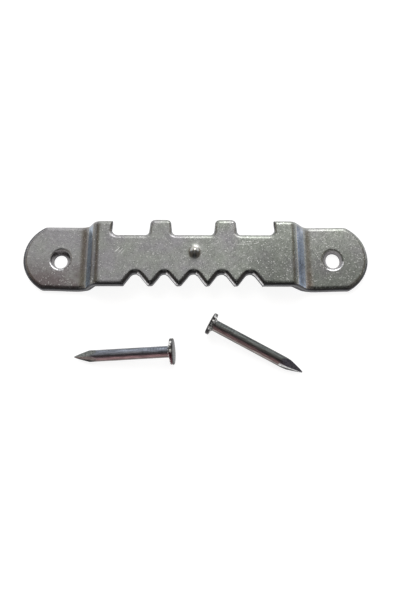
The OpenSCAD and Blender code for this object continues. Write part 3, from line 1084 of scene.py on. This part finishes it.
def nail_steel(name, back_to_axis, length, look, seed):
    """Streaked zinc wire, with bands of painted reflected light and shade round it. back_to_axis takes a
    point in millimetres to the nail's own frame, where
    Z is its axis, X points down and the look's near times Y points to the near side."""
    mat, t, bsdf = new_material(name)
    turn, shift = back_to_axis.to_euler(), back_to_axis.translation
    own = t.mapped(t.in_mm(), Rotation=tuple(turn), Location=tuple(shift))
    down, across, along = t.parts(own)
    # turn round the axis: 0 on top, a quarter on the near side
    round_axis = t.math("ARCTAN2", t.times(across, look["near"]), t.times(down, -1.0))
    stretched = t.mapped(own, Location=(seed, seed * 2, 0), Scale=(3.0, 3.0, 0.25))
    streak = t.noise(stretched, 1.2, 4, 0.6)
    lines = t.noise(stretched, 3.4, 3, 0.6)
    wander = t.plus(round_axis, t.linear(streak, 0.3, 0.7, -0.2, 0.2))
    base = t.ramp(t.linear(wander, -math.pi / 2, math.pi, 0, 1), look["bands"])
    base = t.tone(base, t.ramp(streak, [(0.3, grey(0.75)), (0.7, grey(1.25))]))
    base = t.tone(base, t.ramp(lines, [(0.36, grey(0.55)), (0.5, grey(1.0)), (0.66, grey(1.3))]))
    # the cut point has lost the streaks; its facets are painted lighter and darker either side of the ridge,
    # and its underside is painted dark as shade
    ridge = look["ridge"]
    point = t.mix(t.smooth(round_axis, ridge - 0.08, ridge + 0.08), look["point_top"], look["point_low"])
    point = t.tone(point, t.ramp(t.noise(own, 5.0, 3, 0.6), [(0.35, grey(0.6)), (0.65, grey(1.3))]))
    point = t.mix(t.smooth(round_axis, 1.25, 1.4), point, POINT_UNDER_SHADE)
    from_axis = t.math("SQRT", t.plus(t.times(down, down), t.times(across, across)))
    on_point = t.times(t.smooth(along, POINT_L, POINT_L - 0.3), t.smooth(from_axis, NAIL_R, NAIL_R - 0.03))
    base = t.mix(on_point, base, point)
    head, head_top = head_tints(t, own, length, look)
    base = t.mix(t.smooth(along, length - HEAD_T - FLARE - 0.1, length - HEAD_T), base, head)
    rough = t.plus(t.smooth(streak, 0.3, 0.7, *look["rough"]), t.times(head_top, 0.12))
    normal = t.bump(t.noise(stretched, 8.0, 3, 0.6), 0.00001)
    dents = t.times(t.noise(own, 3.5, 2, 0.6), head_top)
    normal = t.bump(dents, 0.00008, normal)
    t.feed(bsdf, {"Base Color": base, "Metallic": 1.0, "Roughness": rough, "Normal": normal})
    return mat


# Pieces, and the angles from which their edges are sharp
PLATE_SHARP = 38
NAIL_SHARP = 24
NAILS = {
    "left": dict(length=12.55, head_d=3.3, roll=60, point_x=-15.2, point_gap=8.8, turn=2),
    "right": dict(length=13.0, head_d=2.9, roll=6, point_x=13.05, point_gap=10.7, turn=152),
}
skin = plate_skin()
verts = (skin.points() + (PLATE_SHIFT, 0, 0)) * MM
plate = new_object("stamped_plate", verts, skin.faces, skin.kinds, plate_materials(), PLATE_SHARP)
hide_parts("hanger_plate")
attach(plate, "plate")

box_low, box_high = np.array(cad_box) / MM
for seed, (side, size) in enumerate(NAILS.items(), 1):
    skin = nail_skin(size["length"], size["head_d"], size["roll"], seed)
    place = nail_matrix(**size)
    verts = skin.points() @ np.array(place.to_3x3()).T + np.array(place.translation)
    # the nail stays inside the part's box
    verts += np.clip(box_low - verts.min(0), 0, None) - np.clip(verts.max(0) - box_high, 0, None)
    zinc = nail_steel("nail_zinc_" + side, place.inverted(), size["length"], NAIL_LOOKS[side], seed)
    obj = new_object("wire_nail_" + side, verts * MM, skin.faces, skin.kinds, [zinc], NAIL_SHARP)
    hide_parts("nail_" + side)
    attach(obj, side + "_nail")


# The floor and the lamp, in metres. The floor is a round sweep with a low wall
FLOOR_DROP = 0.00002
FLOOR_STEPS = 96
WALL_R = 3.0
WALL_H = 0.8
FLOOR_GREY = 0.3
FLOOR_GLOW = 0.87
LAMP_AT = (-0.25, 0.35, 0.6)
LAMP_SIZE = 0.5
LAMP_POWER = 1.4


def sweep_mesh(radius, height, steps):
    ring = np.column_stack([circle((0, 0), radius, steps), np.zeros(steps)])
    faces = [list(range(steps))] + ring_faces(range(steps), range(steps, 2 * steps), outwards=True)
    mesh = bpy.data.meshes.new("floor")
    mesh.from_pydata([tuple(v) for v in np.concatenate([ring, ring + (0, 0, height)])], [], faces)
    return mesh


def floor_white():
    """A matt grey that camera and mirror rays see as white."""
    mat, t = new_material("floor_white")[:2]
    mat.node_tree.nodes.clear()
    path = t.add("ShaderNodeLightPath").outputs
    seen = t.math("MAXIMUM", path["Is Camera Ray"], path["Is Glossy Ray"])
    seen = t.math("MAXIMUM", seen, path["Is Transmission Ray"])
    diffuse = t.add("ShaderNodeBsdfDiffuse", {"Color": grey(FLOOR_GREY)}).outputs[0]
    glow = t.add("ShaderNodeEmission", {"Color": grey(1), "Strength": t.times(seen, FLOOR_GLOW)}).outputs[0]
    both = t.add("ShaderNodeAddShader", {0: diffuse, 1: glow}).outputs[0]
    t.add("ShaderNodeOutputMaterial", {"Surface": both})
    return mat


floor = link_object("floor", sweep_mesh(WALL_R, WALL_H, FLOOR_STEPS))
floor.location.z = -FLOOR_DROP
floor.data.materials.append(floor_white())

# A soft white studio: bright behind on the right, darker at the sides and dark in front. Each ramp runs by
# height, from level at 0 to straight up at 1
LIT_BACK = [(0.0, grey(4.2)), (0.72, grey(4.0)), (0.82, grey(1.0)), (0.9, grey(0.95)), (1.0, grey(0.7))]
DIM_BACK = [(0.0, grey(1.0)), (0.66, grey(1.0)), (0.8, grey(0.92)), (0.9, grey(0.95)), (1.0, grey(0.7))]
FRONT = [(0.3, (0.46, 0.41, 0.4)), (0.56, (0.36, 0.34, 0.335)), (0.7, grey(0.1)), (0.9, grey(0.05)),
         (1.0, grey(0.45))]
FLANK = [(0.42, (0.75, 0.78, 0.85)), (0.5, (0.42, 0.37, 0.32)), (0.84, (0.4, 0.36, 0.31)), (1.0, grey(0.6))]
# Where the studio's sides meet, by the parts of the direction
BACK_SPLIT = (-0.1, 0.0)
FLANK_SPLIT = (0.27, 0.45)
FRONT_SPLIT = (-0.24, 0.0)
WHITE_SPLIT = (0.26, 0.22)
world = bpy.data.worlds.new("studio")
bpy.context.scene.world = world
world.use_nodes = True
world.node_tree.nodes.clear()
wt = Tree(world.node_tree)
dx, dy, dz = wt.parts(wt.add("ShaderNodeTexCoord").outputs["Generated"])
back = wt.mix(wt.smooth(dx, *BACK_SPLIT), wt.ramp(dz, DIM_BACK), wt.ramp(dz, LIT_BACK))
sky = wt.mix(wt.smooth(wt.math("ABSOLUTE", dx), *FLANK_SPLIT), back, wt.ramp(dz, FLANK))
sky = wt.mix(wt.smooth(dy, *FRONT_SPLIT), wt.ramp(dz, FRONT), sky)
# as low as the sweep's wall reaches, the sky is as white
sky = wt.mix(wt.smooth(dz, *WHITE_SPLIT), sky, grey(1.0))
background = wt.add("ShaderNodeBackground", {"Color": sky, "Strength": 1.0}).outputs[0]
wt.add("ShaderNodeOutputWorld", {"Surface": background})

lamp_data = bpy.data.lights.new("softbox", "AREA")
lamp_data.shape = "DISK"
lamp_data.size = LAMP_SIZE
lamp_data.energy = LAMP_POWER
lamp = link_object("softbox", lamp_data)
lamp.location = LAMP_AT
lamp.rotation_euler = (-lamp.location).to_track_quat("-Z", "Y").to_euler()
lamp.visible_glossy = False

# The photograph's camera, in millimetres, degrees and pixels
ELEVATION = math.radians(70)
FOCAL_PX = 680.87
DISTANCE = 87.73
CAM_ROLL = math.radians(0.1406)
TARGET = Vector((0.47, -5.4918, 0))
LONG_SIDE_PX = 601
SENSOR = 36.0
NEAREST = 0.001
FARTHEST = 10
away = Vector((0, -math.cos(ELEVATION), math.sin(ELEVATION)))
level = Vector((1, 0, 0))
upright = away.cross(level)
right = level * math.cos(CAM_ROLL) + upright * math.sin(CAM_ROLL)
up = upright * math.cos(CAM_ROLL) - level * math.sin(CAM_ROLL)
cam_data = bpy.data.cameras.new("camera")
cam_data.sensor_width = SENSOR
cam_data.lens = FOCAL_PX * SENSOR / LONG_SIDE_PX
cam_data.clip_start = NEAREST
cam_data.clip_end = FARTHEST
camera = link_object("camera", cam_data)
axes = Matrix((right, up, away)).transposed().to_4x4()
camera.matrix_world = Matrix.Translation((TARGET + away * DISTANCE) * MM) @ axes
bpy.context.scene.camera = camera
bpy.context.scene.view_settings.view_transform = "Standard"
